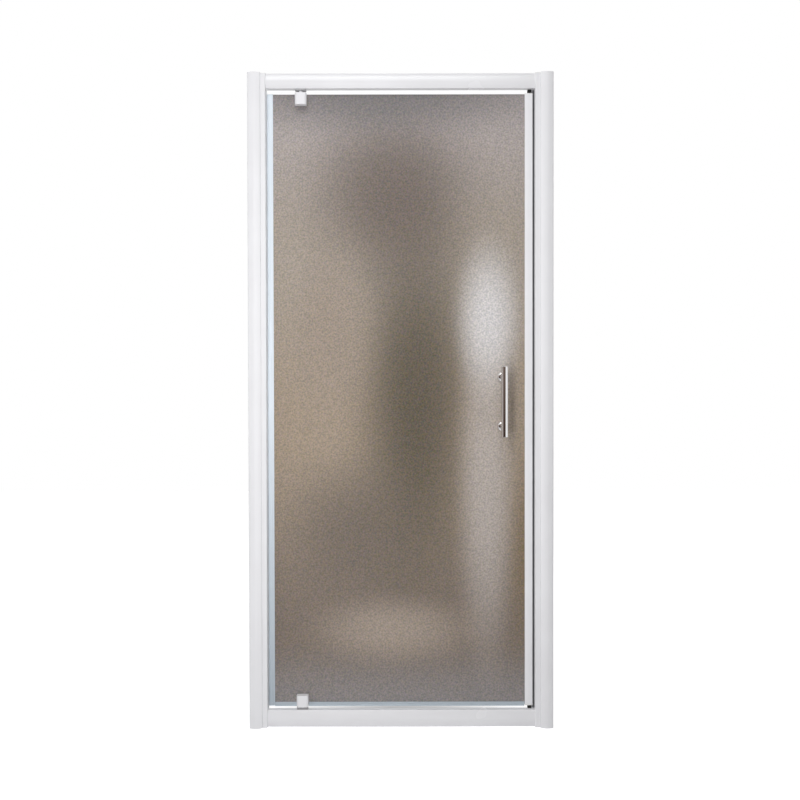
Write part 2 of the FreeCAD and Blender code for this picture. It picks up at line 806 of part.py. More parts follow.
def edge_cap(z0, z1, tongue_z0, tongue_z1):
    """End of the edge profile: its outline, slotted for the glass, with a tongue."""
    cap = rounded_edge_body(z0, z1)
    channel = rectangle(
        edge_left_x - cut_past, glass_front_y - edge_gasket,
        glass_right_x + edge_gasket, glass_back_y + edge_gasket,
    )
    cap = cap.cut(upright(channel, z0, z1))
    tongue = edge_front_room().makeOffset2D(-edge_tongue_gap)
    return cap.fuse(upright(tongue.Faces[0], tongue_z0, tongue_z1)).removeSplitter()


def bottom_edge_cap():
    top = edge_bottom_z + edge_cap_height
    return edge_cap(edge_bottom_z, top, edge_bottom_z, top + edge_tongue_depth)


def top_edge_cap():
    low = edge_top_z - edge_cap_height
    return edge_cap(low, edge_top_z, low - edge_tongue_depth, edge_top_z)


def edge_glazing_gasket():
    """U of rubber between the glass and the channel of the edge profile."""
    outside = rectangle(
        edge_left_x + edge_gasket, glass_front_y - edge_gasket,
        glass_right_x + edge_gasket, glass_back_y + edge_gasket,
    )
    inside = rectangle(edge_left_x, glass_front_y, glass_right_x, glass_back_y)
    return upright(outside.cut(inside), glass_bottom_z, glass_top_z)


def strip_section(mouth_x, depth_sign, skin, head):
    """T-shaped section of a magnet strip: head outside the slot, foot inside it."""
    wall_x = mouth_x + depth_sign * skin
    floor_x = wall_x + depth_sign * slot_depth
    spans = (
        (mouth_x - depth_sign * head, mouth_x, strip_head_width),
        (mouth_x, wall_x + depth_sign * strip_fit, slot_mouth - 2 * strip_fit),
        (wall_x + depth_sign * strip_fit, floor_x - depth_sign * strip_fit, slot_width - 2 * strip_fit),
    )
    blocks = [
        rectangle(min(a, b), slot_y - width / 2, max(a, b), slot_y + width / 2) for a, b, width in spans
    ]
    return blocks[0].fuse(blocks[1:])


def door_magnet_strip():
    section = strip_section(edge_right_x, -1, edge_skin, door_strip_head)
    return upright(section, edge_bottom_z + edge_cap_height, edge_top_z - edge_cap_height)


def strike_magnet_strip():
    section = strip_section(jamb_inner_x, 1, jamb_skin, strike_strip_head)
    low = threshold_height + strike_strip_end_gap
    return upright(section, low, top_rail_z - strike_strip_end_gap)


def edge_pad(z0, z1):
    """Rubber pad on an end cap, which closes the gap to the rail."""
    right = edge_right_x - pad_side
    return box(
        right - pad_width, edge_front_y + pad_front_gap, z0, right, edge_back_y - pad_back_gap, z1
    )


# ---- Clear seals ----
def hinge_side_seal():
    """Grip over the glass edge, ribbed in front, with a hollow bulb towards the jamb."""
    grip_left = glass_left_x - seal_skin
    grip_right = glass_left_x + seal_grip
    grip = rectangle(grip_left, glass_front_y - seal_skin, grip_right, glass_back_y + seal_skin)
    grip = grip.cut(rectangle(glass_left_x, glass_front_y, grip_right + cut_past, glass_back_y))
    bulb_left = seal_jamb_gap - jamb_inner_x
    outside = bulb_outline(bulb_left, grip_left + seal_skin / 2, bulb_depth / 2, bulb_radius)
    room = bulb_outline(
        bulb_left + seal_skin, grip_left, bulb_depth / 2 - seal_skin, bulb_radius - seal_skin
    )
    ribs = []
    for x in (grip_left, grip_right - rib_width):
        front = glass_front_y - seal_skin
        ribs.append(rectangle(x, front - rib_height, x + rib_width, front + seal_skin / 2))
    section = grip.fuse([outside] + ribs).cut(room)
    return upright(section, glass_bottom_z - seal_bottom_overhang, glass_top_z + seal_top_overhang)


def bulb_outline(left, right, half, radius):
    return rounded_face([
        (left, glass_mid_y - half, radius), (right, glass_mid_y - half, 0),
        (right, glass_mid_y + half, 0), (left, glass_mid_y + half, radius),
    ])


def drip_section():
    """Grip over the glass's bottom edge with two fins that lean apart."""
    low = glass_bottom_z - seal_skin
    high = glass_bottom_z + drip_grip
    tip = threshold_height + drip_rail_gap
    grip = rectangle(glass_front_y - seal_skin, low, glass_back_y + seal_skin, high)
    grip = grip.cut(rectangle(glass_front_y, glass_bottom_z, glass_back_y, high + cut_past))
    fins = []
    for side in (-1, 1):
        root = glass_mid_y + side * (glass_thickness / 2 + seal_skin)
        inner = root - side * drip_fin
        end = root + side * drip_lean
        fins.append(rounded_face([
            (root, low + seal_skin / 2, 0), (inner, low + seal_skin / 2, 0),
            (end - side * drip_fin, tip, 0), (end, tip, 0),
        ]))
    return grip.fuse(fins)


def drip_seal(x0, x1):
    return lengthwise(drip_section(), x0, x1)


# ---- Handle ----
def handle_bar():
    """Round bar, bevelled at both ends and drilled for the studs of its posts."""
    low = handle_z - handle_length / 2
    bar = rod_z(handle_radius, handle_x, bar_y, low, low + handle_length)
    rims = [e for e in bar.Edges if e.Closed]
    bar = bar.makeChamfer(handle_bevel, rims)
    for z in post_heights:
        y1 = bar_y + handle_radius
        bar = bar.cut(rod_y(stud_radius + screw_fit, handle_x, y1 - stud_in_bar, y1 + cut_past, z))
    return bar


def handle_post(z):
    """Rosette on the glass, bevelled twice, with a neck hollowed to the bar's curve."""
    base_y = glass_front_y - handle_gasket
    outline = rounded_face([
        (0, base_y, 0), (0, bar_y, 0), (post_neck_radius, bar_y, 0),
        (post_neck_radius, base_y - rosette_height, 0),
        (dome_shoulder_radius, base_y - dome_shoulder_height, 0),
        (rosette_radius, base_y - rosette_rim, 0), (rosette_radius, base_y, 0),
    ])
    post = outline.revolve(Vector(0, 0, 0), Vector(0, 1, 0), 360)
    post.translate(Vector(handle_x, 0, z))
    length = 2 * rosette_radius
    post = post.cut(rod_z(handle_radius, handle_x, bar_y, z - length, z + length))
    bar_back = bar_y + handle_radius
    post = post.cut(rod_y(stud_radius + screw_fit, handle_x, bar_back - cut_past, bar_back + stud_in_post, z))
    hole_front = base_y - handle_screw_bite
    return post.cut(rod_y(handle_screw_radius + screw_fit, handle_x, hole_front, base_y + cut_past, z))


def handle_studs():
    bar_back = bar_y + handle_radius
    studs = [
        rod_y(stud_radius, handle_x, bar_back - stud_in_bar, bar_back + stud_in_post, z) for z in post_heights
    ]
    return Part.makeCompound(studs)


def handle_washers(radius, y0, y1):
    """Pair of thin gaskets on the glass, one for each post."""
    rings = []
    for z in post_heights:
        ring = rod_y(radius, handle_x, y0, y1, z)
        rings.append(ring.cut(rod_y(handle_hole_radius, handle_x, y0 - cut_past, y1 + cut_past, z)))
    return Part.makeCompound(rings)


def handle_inner_caps():
    """Round caps on the inside of the glass, countersunk for the handle screws."""
    y0 = glass_back_y + handle_gasket
    y1 = y0 + inner_cap_height
    caps = []
    for z in post_heights:
        cap = rod_y(inner_cap_radius, handle_x, y0, y1, z)
        rim = [e for e in cap.Edges if e.Closed and e.CenterOfMass.y > y1 - on_plane]
        cap = cap.makeChamfer(inner_cap_bevel, rim)
        hole = countersunk_screw(
            handle_screw_radius + screw_fit, handle_head_radius + screw_fit, handle_head_height,
            2 * inner_cap_height,
        )
        hole.rotate(Vector(0, 0, 0), Vector(1, 0, 0), -90)
        hole.translate(Vector(handle_x, y1, z))
        caps.append(cap.cut(hole))
    return Part.makeCompound(caps)


def handle_screws():
    """Two screws from the inner caps through the glass into the posts."""
    cap_back = glass_back_y + handle_gasket + inner_cap_height
    length = cap_back - (glass_front_y - handle_gasket) + handle_screw_bite - screw_end_gap
    screws = []
    for z in post_heights:
        screw = countersunk_screw(handle_screw_radius, handle_head_radius, handle_head_height, length)
        screw.rotate(Vector(0, 0, 0), Vector(1, 0, 0), -90)
        screw.translate(Vector(handle_x, cap_back, z))
        screws.append(screw)
    return Part.makeCompound(screws)


def handle_sleeves():
    return Part.makeCompound(
        [sleeve(handle_x, z, handle_hole_radius, handle_screw_radius) for z in post_heights]
    )


# ---- All pieces, by name ----
half_block = block_width / 2
rosette_gasket_y = glass_front_y - handle_gasket
cap_gasket_y = glass_back_y + handle_gasket
pieces = {
    "right_wall_profile": right_wall_profile(),
    "left_wall_profile": mirror_side(right_wall_profile()),
    "right_wall_plug": right_wall_plug(),
    "left_wall_plug": mirror_side(right_wall_plug()),
    "hinge_jamb": hinge_jamb(),
    "strike_jamb": strike_jamb(),
    "strike_jamb_cap": strike_jamb_cap(),
    "hinge_jamb_cap": mirror_side(strike_jamb_cap()),
    "threshold_rail": rail(threshold_height),
    "top_rail": mirror_height(rail(top_rail_height)),
    "rail_screws": rail_screws(),
    "right_lock_screws": right_lock_screws(),
    "left_lock_screws": mirror_side(right_lock_screws()),
    "bottom_pivot_bush": pivot_bush(threshold_height),
    "top_pivot_bush": mirror_height(pivot_bush(top_rail_height)),
    "bush_screws": bush_screws(),
    "thrust_washer": thrust_washer(),
    "strike_magnet_strip": strike_magnet_strip(),
    "glass_panel": glass_panel(),
    "bottom_pivot_block": bottom_pivot_block(),
    "top_pivot_block": top_pivot_block(),
    "bottom_pivot_pin": bottom_pivot_pin(),
    "top_pivot_pin": top_pivot_pin(),
    "bottom_front_gasket": front_gasket(bottom_block_z, clamp_heights[0]),
    "top_front_gasket": front_gasket(top_block_z, clamp_heights[1]),
    "bottom_back_gasket": back_gasket(bottom_block_z, clamp_heights[0]),
    "top_back_gasket": back_gasket(top_block_z, clamp_heights[1]),
    "bottom_clamp_plate": clamp_plate(bottom_block_z, clamp_heights[0]),
    "top_clamp_plate": clamp_plate(top_block_z, clamp_heights[1]),
    "clamp_screws": clamp_screws(),
    "clamp_sleeves": clamp_sleeves(),
    "door_edge_profile": door_edge_profile(),
    "edge_glazing_gasket": edge_glazing_gasket(),
    "door_magnet_strip": door_magnet_strip(),
    "top_edge_cap": top_edge_cap(),
    "bottom_edge_cap": bottom_edge_cap(),
    "top_edge_pad": edge_pad(edge_top_z, top_rail_z - pad_rail_gap),
    "bottom_edge_pad": edge_pad(threshold_height + pad_rail_gap, edge_bottom_z),
    "hinge_side_seal": hinge_side_seal(),
    "short_drip_seal": drip_seal(
        glass_left_x + seal_grip + seal_end_gap, pivot_x - half_block - seal_end_gap
    ),
    "long_drip_seal": drip_seal(pivot_x + half_block + seal_end_gap, edge_left_x - seal_end_gap),
    "handle_bar": handle_bar(),
    "lower_handle_post": handle_post(post_heights[0]),
    "upper_handle_post": handle_post(post_heights[1]),
    "handle_studs": handle_studs(),
    "handle_front_gaskets": handle_washers(
        rosette_radius - gasket_inset, rosette_gasket_y, glass_front_y
    ),
    "handle_back_gaskets": handle_washers(inner_cap_radius - gasket_inset, glass_back_y, cap_gasket_y),
    "handle_inner_caps": handle_inner_caps(),
    "handle_screws": handle_screws(),
    "handle_sleeves": handle_sleeves(),
}

os.makedirs("parts", exist_ok=True)
for name, shape in pieces.items():
    solids = len(shape.Solids)
    print(f"{name}: {solids} solids, valid {shape.isValid()}, volume {shape.Volume:.0f}")
    shape.exportStep(f"parts/{name}.step")
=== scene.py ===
import math

import bmesh
import bpy
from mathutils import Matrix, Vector


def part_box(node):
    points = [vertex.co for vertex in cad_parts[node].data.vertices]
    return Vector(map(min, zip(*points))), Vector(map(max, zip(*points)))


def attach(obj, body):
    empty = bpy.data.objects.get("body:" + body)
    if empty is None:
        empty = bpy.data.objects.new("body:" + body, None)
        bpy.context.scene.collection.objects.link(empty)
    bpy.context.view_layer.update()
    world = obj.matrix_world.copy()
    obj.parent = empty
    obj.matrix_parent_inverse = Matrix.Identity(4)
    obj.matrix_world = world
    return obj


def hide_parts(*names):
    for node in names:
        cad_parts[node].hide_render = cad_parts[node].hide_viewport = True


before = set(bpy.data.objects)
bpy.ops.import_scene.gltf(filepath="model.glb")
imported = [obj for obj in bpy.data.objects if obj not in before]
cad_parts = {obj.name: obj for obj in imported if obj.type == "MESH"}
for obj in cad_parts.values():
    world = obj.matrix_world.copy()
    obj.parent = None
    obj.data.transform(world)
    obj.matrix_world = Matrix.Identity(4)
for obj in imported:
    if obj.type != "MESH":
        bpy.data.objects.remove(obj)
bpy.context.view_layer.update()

# ---------------------------------------------------------------- wall profiles and frame
# The wall profiles, jambs, rails, pivot blocks, clamp plates and the closing edge are
# aluminium, powder coated gloss white. The coat is slightly uneven, with a fine orange
# peel, and its gloss varies a little along each length.


def powder_coat(name, tint):
    material = bpy.data.materials.new(name)
    material.use_nodes = True
    nodes, links = material.node_tree.nodes, material.node_tree.links
    shader = nodes["Principled BSDF"]
    place = nodes.new("ShaderNodeTexCoord")
    cloud = nodes.new("ShaderNodeTexNoise")
    cloud.inputs["Scale"].default_value = 7.0
    cloud.inputs["Detail"].default_value = 3.0
    links.new(place.outputs["Object"], cloud.inputs["Vector"])
    shade = nodes.new("ShaderNodeValToRGB")
    low, high = shade.color_ramp.elements
    low.position, high.position = 0.3, 0.7
    low.color = (tint[0] * 0.965, tint[1] * 0.96, tint[2] * 0.962, 1)
    high.color = (*tint, 1)
    links.new(cloud.outputs["Fac"], shade.inputs["Fac"])
    links.new(shade.outputs["Color"], shader.inputs["Base Color"])
    gloss = nodes.new("ShaderNodeMapRange")
    gloss.inputs["To Min"].default_value = 0.20
    gloss.inputs["To Max"].default_value = 0.30
    links.new(cloud.outputs["Fac"], gloss.inputs["Value"])
    links.new(gloss.outputs["Result"], shader.inputs["Roughness"])
    peel = nodes.new("ShaderNodeTexNoise")
    peel.inputs["Scale"].default_value = 900.0
    peel.inputs["Detail"].default_value = 2.0
    links.new(place.outputs["Object"], peel.inputs["Vector"])
    bump = nodes.new("ShaderNodeBump")
    bump.inputs["Strength"].default_value = 0.06
    bump.inputs["Distance"].default_value = 0.0003
    links.new(peel.outputs["Fac"], bump.inputs["Height"])
    links.new(bump.outputs["Normal"], shader.inputs["Normal"])
    return material


white_coat = powder_coat("white_powder_coat", (0.80, 0.80, 0.82))
COATED = (
    "left_wall_profile", "right_wall_profile", "hinge_jamb", "strike_jamb", "threshold_rail",
    "top_rail", "bottom_clamp_plate", "top_clamp_plate", "door_edge_profile",
)


def dress(node, material):
    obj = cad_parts[node]
    obj.data.materials.clear()
    obj.data.materials.append(material)


for node in COATED:
    dress(node, white_coat)

# ---------------------------------------------------------------- nylon and end caps
# Caps, plugs and sleeves are moulded in white nylon, a little warmer and duller than the
# coated metal, with a faint mould grain.


def moulded(name, colour, roughness, grain):
    material = bpy.data.materials.new(name)
    material.use_nodes = True
    nodes, links = material.node_tree.nodes, material.node_tree.links
    shader = nodes["Principled BSDF"]
    place = nodes.new("ShaderNodeTexCoord")
    noise = nodes.new("ShaderNodeTexNoise")
    noise.inputs["Scale"].default_value = grain
    noise.inputs["Detail"].default_value = 4.0
    links.new(place.outputs["Object"], noise.inputs["Vector"])
    shade = nodes.new("ShaderNodeValToRGB")
    low, high = shade.color_ramp.elements
    low.color = (colour[0] * 0.9, colour[1] * 0.9, colour[2] * 0.9, 1)
    high.color = (*colour, 1)
    links.new(noise.outputs["Fac"], shade.inputs["Fac"])
    links.new(shade.outputs["Color"], shader.inputs["Base Color"])
    duller = nodes.new("ShaderNodeMapRange")
    duller.inputs["To Min"].default_value = roughness - 0.06
    duller.inputs["To Max"].default_value = roughness + 0.06
    links.new(noise.outputs["Fac"], duller.inputs["Value"])
    links.new(duller.outputs["Result"], shader.inputs["Roughness"])
    bump = nodes.new("ShaderNodeBump")
    bump.inputs["Strength"].default_value = 0.15
    bump.inputs["Distance"].default_value = 0.0002
    links.new(noise.outputs["Fac"], bump.inputs["Height"])
    links.new(bump.outputs["Normal"], shader.inputs["Normal"])
    return material


white_nylon = moulded("white_nylon", (0.80, 0.80, 0.79), 0.42, 600.0)
for node in (
    "left_wall_plug", "right_wall_plug", "hinge_jamb_cap", "strike_jamb_cap", "top_edge_cap",
    "bottom_edge_cap", "clamp_sleeves", "handle_sleeves",
):
    dress(node, white_nylon)

# ---------------------------------------------------------------- pivot bushes
# The bush plates on the rails and the thrust washer are machined from grey acetal, which
# the pins run in, with a fine turned grain. Their mid grey is partly painted shade: it
# stands for the shade in the recess between the top rail and its pivot block.
painted_shade_grey_acetal = moulded("painted_shade_grey_acetal", (0.36, 0.36, 0.37), 0.5, 800.0)
for node in ("bottom_pivot_bush", "top_pivot_bush", "thrust_washer"):
    dress(node, painted_shade_grey_acetal)

# ---------------------------------------------------------------- pivot blocks
# Cast blocks in front of the glass, coated white, with wide chamfers down their front
# edges. The top one carries a cone that stands around its pin, up to the bush plate.
BLOCK_CHAMFER = 0.0045
BLOCK_ROUNDING = 0.0006
ROUNDED_FACE_AREA = 1.2e-5
SAME_PLACE = 1e-5
CONE_HEIGHT = 0.0057
CONE_LOW_RADIUS = 0.0070
CONE_HIGH_RADIUS = 0.0049
CONE_SINK = 0.0015
CONE_SIDES = 48


def pivot_block(node, boss):
    """Chamfered block in the place of the CAD one, with the top one's cone."""
    low, high = (Vector(corner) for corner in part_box(node))
    top = high.z - (CONE_HEIGHT if boss else 0.0)
    mesh = bpy.data.meshes.new(node + "_chamfered")
    body = bmesh.new()
    bmesh.ops.create_cube(body, size=1.0)
    size = Vector((high.x - low.x, high.y - low.y, top - low.z))
    middle = Vector(((high.x + low.x) / 2, (high.y + low.y) / 2, (top + low.z) / 2))
    for vertex in body.verts:
        vertex.co = Vector(c * d for c, d in zip(vertex.co, size)) + middle
    for cut, steps in ((BLOCK_CHAMFER, 1), (BLOCK_ROUNDING, 3)):
        edges = []
        for edge in body.edges:
            one, other = (vertex.co for vertex in edge.verts)
            if cut == BLOCK_CHAMFER:
                chosen = one.y < middle.y and abs(one.z - other.z) > SAME_PLACE
            else:
                chosen = (one.y + other.y) / 2 < high.y - SAME_PLACE
            if chosen:
                edges.append(edge)
        bmesh.ops.bevel(
            body, geom=edges, offset=cut, offset_type="OFFSET", segments=steps, profile=0.5,
            affect="EDGES", clamp_overlap=True,
        )
    if boss:
        turned = []
        for radius, z in (
            (CONE_LOW_RADIUS, top - CONE_SINK),
            (CONE_LOW_RADIUS, top),
            (CONE_HIGH_RADIUS, high.z),
        ):
            ring = []
            for step in range(CONE_SIDES):
                angle = 2 * math.pi * step / CONE_SIDES
                x = middle.x + radius * math.cos(angle)
                ring.append(body.verts.new((x, radius * math.sin(angle), z)))
            turned.append(ring)
        for lower, upper in zip(turned, turned[1:]):
            for i in range(CONE_SIDES):
                j = (i + 1) % CONE_SIDES
                body.faces.new((lower[i], lower[j], upper[j], upper[i]))
        body.faces.new(turned[-1])
        body.faces.new(list(reversed(turned[0])))
    bmesh.ops.recalc_face_normals(body, faces=body.faces)
    for face in body.faces:
        face.smooth = len(face.verts) <= 4 and face.calc_area() < ROUNDED_FACE_AREA
    body.to_mesh(mesh)
    body.free()
    mesh.materials.append(white_coat)
    piece = bpy.data.objects.new(node + "_chamfered", mesh)
    bpy.context.scene.collection.objects.link(piece)
    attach(piece, "door")
    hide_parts(node)


pivot_block("bottom_pivot_block", False)
pivot_block("top_pivot_block", True)

# ---------------------------------------------------------------- rubber
# Gaskets are dark grey rubber, the pads on the closing edge black foam rubber, and the
# magnet strips dark grey bonded magnet.
gasket_rubber = moulded("gasket_rubber", (0.12, 0.12, 0.125), 0.7, 900.0)
pad_rubber = moulded("pad_rubber", (0.018, 0.017, 0.017), 0.8, 1200.0)
magnet_rubber = moulded("magnet_rubber", (0.10, 0.10, 0.105), 0.6, 700.0)
for node in (
    "bottom_front_gasket", "top_front_gasket", "bottom_back_gasket", "top_back_gasket",
    "edge_glazing_gasket", "handle_front_gaskets", "handle_back_gaskets",
):
    dress(node, gasket_rubber)
for node in ("top_edge_pad", "bottom_edge_pad"):
    dress(node, pad_rubber)
for node in ("strike_magnet_strip", "door_magnet_strip"):
    dress(node, magnet_rubber)

# ---------------------------------------------------------------- clear seals
# Seals on the leaf are extruded clear PVC, slightly blue and milky, drawn with faint lines
# along their length. Their colour darkens towards the threshold as painted shade.


def clear_pvc(name, stretch):
    material = bpy.data.materials.new(name)
    material.use_nodes = True
    nodes, links = material.node_tree.nodes, material.node_tree.links
    shader = nodes["Principled BSDF"]
    place = nodes.new("ShaderNodeTexCoord")
    lie = nodes.new("ShaderNodeMapping")
    lie.inputs["Scale"].default_value = stretch
    links.new(place.outputs["Object"], lie.inputs["Vector"])
    lines = nodes.new("ShaderNodeTexNoise")
    lines.inputs["Scale"].default_value = 1.0
    lines.inputs["Detail"].default_value = 3.0
    links.new(lie.outputs["Vector"], lines.inputs["Vector"])
    # Painted shade: the colour darkens with height below about 0.9 m, towards the threshold.
    height = nodes.new("ShaderNodeSeparateXYZ")
    links.new(place.outputs["Object"], height.inputs["Vector"])
    painted_shading_by_height = nodes.new("ShaderNodeMapRange")
    painted_shading_by_height.inputs["From Min"].default_value = 0.05
    painted_shading_by_height.inputs["From Max"].default_value = 0.9
    links.new(height.outputs["Z"], painted_shading_by_height.inputs["Value"])
    painted_shading = nodes.new("ShaderNodeValToRGB")
    low, high = painted_shading.color_ramp.elements
    low.color = (0.50, 0.57, 0.63, 1)
    high.color = (0.84, 0.91, 0.98, 1)
    links.new(painted_shading_by_height.outputs["Result"], painted_shading.inputs["Fac"])
    links.new(painted_shading.outputs["Color"], shader.inputs["Base Color"])
    haze = nodes.new("ShaderNodeMapRange")
    haze.inputs["To Min"].default_value = 0.15
    haze.inputs["To Max"].default_value = 0.35
    links.new(lines.outputs["Fac"], haze.inputs["Value"])
    links.new(haze.outputs["Result"], shader.inputs["Roughness"])
    bump = nodes.new("ShaderNodeBump")
    bump.inputs["Strength"].default_value = 0.2
    bump.inputs["Distance"].default_value = 0.0004
    links.new(lines.outputs["Fac"], bump.inputs["Height"])
    links.new(bump.outputs["Normal"], shader.inputs["Normal"])
    shader.inputs["Transmission Weight"].default_value = 0.15
    shader.inputs["IOR"].default_value = 1.52
    return material


upright_pvc = clear_pvc("clear_pvc_upright", (900, 900, 4))
level_pvc = clear_pvc("clear_pvc_level", (4, 900, 900))
dress("hinge_side_seal", upright_pvc)
dress("short_drip_seal", level_pvc)
dress("long_drip_seal", level_pvc)

# ---------------------------------------------------------------- glass
# One pane of 5 mm obscured safety glass, with a fine pebbled grain on its face and
# polished edges. Its colour is painted light and shade: a tone that changes with height,
# and soft warm and cool patches of painted light, shade and reflection.
PANE_MIDDLE_Y = 0.013
TONES_FROM_Z = 0.05
TONES_TO_Z = 1.80
pane = bpy.data.materials.new("obscured_glass")
pane.use_nodes = True
nodes, links = pane.node_tree.nodes, pane.node_tree.links
shader = nodes["Principled BSDF"]
place = nodes.new("ShaderNodeTexCoord")


def painted_light_patch(under, colour, centre, spread, strength):
    """Soft elliptical patch of one colour, painted light and shade, over what lies under it.
    """
    shift = nodes.new("ShaderNodeMapping")
    shift.vector_type = "TEXTURE"
    shift.inputs["Location"].default_value = (centre[0], PANE_MIDDLE_Y, centre[1])
    shift.inputs["Scale"].default_value = (spread[0], 1.0, spread[1])
    links.new(place.outputs["Object"], shift.inputs["Vector"])
    ball = nodes.new("ShaderNodeTexGradient")
    ball.gradient_type = "SPHERICAL"
    links.new(shift.outputs["Vector"], ball.inputs["Vector"])
    soft = nodes.new("ShaderNodeMapRange")
    soft.interpolation_type = "SMOOTHERSTEP"
    soft.inputs["To Max"].default_value = strength
    links.new(ball.outputs["Fac"], soft.inputs["Value"])
    mix = nodes.new("ShaderNodeMix")
    mix.data_type = "RGBA"
    links.new(soft.outputs["Result"], mix.inputs["Factor"])
    links.new(under, mix.inputs["A"])
    mix.inputs["B"].default_value = (*colour, 1)
    return mix.outputs["Result"]


# The lowest layer is painted light and shade that goes by height, from just under the pane to
# just over it.
height = nodes.new("ShaderNodeSeparateXYZ")
links.new(place.outputs["Object"], height.inputs["Vector"])
rise = nodes.new("ShaderNodeMapRange")
rise.inputs["From Min"].default_value = TONES_FROM_Z
rise.inputs["From Max"].default_value = TONES_TO_Z
links.new(height.outputs["Z"], rise.inputs["Value"])
painted_shading_by_height = nodes.new("ShaderNodeValToRGB")
painted_shading_by_height.color_ramp.interpolation = "EASE"
painted_shading_by_height.color_ramp.elements[0].color = (0.245, 0.225, 0.220, 1)
painted_shading_by_height.color_ramp.elements[1].color = (0.38, 0.34, 0.33, 1)
for position, colour in (
    (0.12, (0.192, 0.154, 0.125)), (0.45, (0.315, 0.252, 0.190)), (0.75, (0.33, 0.285, 0.24)),
):
    stop = painted_shading_by_height.color_ramp.elements.new(position)
    stop.color = (*colour, 1)
links.new(rise.outputs["Result"], painted_shading_by_height.inputs["Fac"])
painted_shading = painted_shading_by_height.outputs["Color"]
# Each painted patch of light and shade has a colour, a middle and a spread across and up, and
# a strength; the brightest is a painted highlight.
for colour, centre, spread, strength in (
    ((0.090, 0.074, 0.052), (0.04, 0.93), (0.27, 0.90), 0.92),
    ((0.120, 0.095, 0.080), (-0.03, 1.52), (0.38, 0.42), 0.85),
    ((0.135, 0.110, 0.090), (-0.14, 0.56), (0.28, 0.31), 0.70),
    ((0.200, 0.145, 0.085), (0.36, 0.50), (0.12, 0.44), 0.72),
    ((0.150, 0.140, 0.140), (-0.06, 1.80), (0.76, 0.17), 0.90),
    ((0.280, 0.228, 0.183), (-0.20, 1.13), (0.18, 0.38), 0.80),
    ((0.435, 0.390, 0.360), (0.245, 0.69), (0.12, 0.74), 0.88),
    ((0.640, 0.620, 0.620), (0.25, 1.16), (0.13, 0.31), 0.92),
    ((0.420, 0.350, 0.290), (-0.02, 0.27), (0.34, 0.14), 0.60),
):
    painted_shading = painted_light_patch(painted_shading, colour, centre, spread, strength)
grain = nodes.new("ShaderNodeTexNoise")
grain.inputs["Scale"].default_value = 210.0
grain.inputs["Detail"].default_value = 2.0
links.new(place.outputs["Object"], grain.inputs["Vector"])
speck = nodes.new("ShaderNodeValToRGB")
speck.color_ramp.elements[0].position = 0.3
speck.color_ramp.elements[1].position = 0.7
speck.color_ramp.elements[0].color = (0.78, 0.77, 0.78, 1)
speck.color_ramp.elements[1].color = (1.20, 1.21, 1.20, 1)
links.new(grain.outputs["Fac"], speck.inputs["Fac"])
spotted = nodes.new("ShaderNodeMix")
spotted.data_type = "RGBA"
spotted.blend_type = "MULTIPLY"
spotted.inputs["Factor"].default_value = 1.0
links.new(painted_shading, spotted.inputs["A"])
links.new(speck.outputs["Color"], spotted.inputs["B"])
mottle = nodes.new("ShaderNodeMix")
mottle.data_type = "RGBA"
mottle.blend_type = "LINEAR_LIGHT"
mottle.inputs["Factor"].default_value = 0.05
links.new(spotted.outputs["Result"], mottle.inputs["A"])
links.new(grain.outputs["Color"], mottle.inputs["B"])
links.new(mottle.outputs["Result"], shader.inputs["Base Color"])
pebble = nodes.new("ShaderNodeBump")
pebble.inputs["Strength"].default_value = 0.35
pebble.inputs["Distance"].default_value = 0.0006
links.new(grain.outputs["Fac"], pebble.inputs["Height"])
links.new(pebble.outputs["Normal"], shader.inputs["Normal"])
satin = nodes.new("ShaderNodeMapRange")
satin.inputs["To Min"].default_value = 0.38
satin.inputs["To Max"].default_value = 0.52
links.new(grain.outputs["Fac"], satin.inputs["Value"])
links.new(satin.outputs["Result"], shader.inputs["Roughness"])
shader.inputs["IOR"].default_value = 1.5
dress("glass_panel", pane)

# ---------------------------------------------------------------- steel
# The rail screws, handle studs and pivot pins are plain stainless steel, lightly brushed.
# They have no drive that shows.


def steel(name, colour, roughness):
    material = bpy.data.materials.new(name)
    material.use_nodes = True
    nodes, links = material.node_tree.nodes, material.node_tree.links
    shader = nodes["Principled BSDF"]
    shader.inputs["Metallic"].default_value = 1.0
    place = nodes.new("ShaderNodeTexCoord")
    noise = nodes.new("ShaderNodeTexNoise")
    noise.inputs["Scale"].default_value = 1500.0
    links.new(place.outputs["Object"], noise.inputs["Vector"])
    shade = nodes.new("ShaderNodeValToRGB")
    low, high = shade.color_ramp.elements
    low.color = (colour[0] * 0.9, colour[1] * 0.9, colour[2] * 0.9, 1)
    high.color = (*colour, 1)
    links.new(noise.outputs["Fac"], shade.inputs["Fac"])
    links.new(shade.outputs["Color"], shader.inputs["Base Color"])
    rub = nodes.new("ShaderNodeMapRange")
    rub.inputs["To Min"].default_value = roughness * 0.8
    rub.inputs["To Max"].default_value = roughness * 1.2
    links.new(noise.outputs["Fac"], rub.inputs["Value"])
    links.new(rub.outputs["Result"], shader.inputs["Roughness"])
    return material


plain_steel = steel("plain_steel", (0.60, 0.60, 0.60), 0.3)
for node in ("rail_screws", "handle_studs", "bottom_pivot_pin", "top_pivot_pin"):
    dress(node, plain_steel)

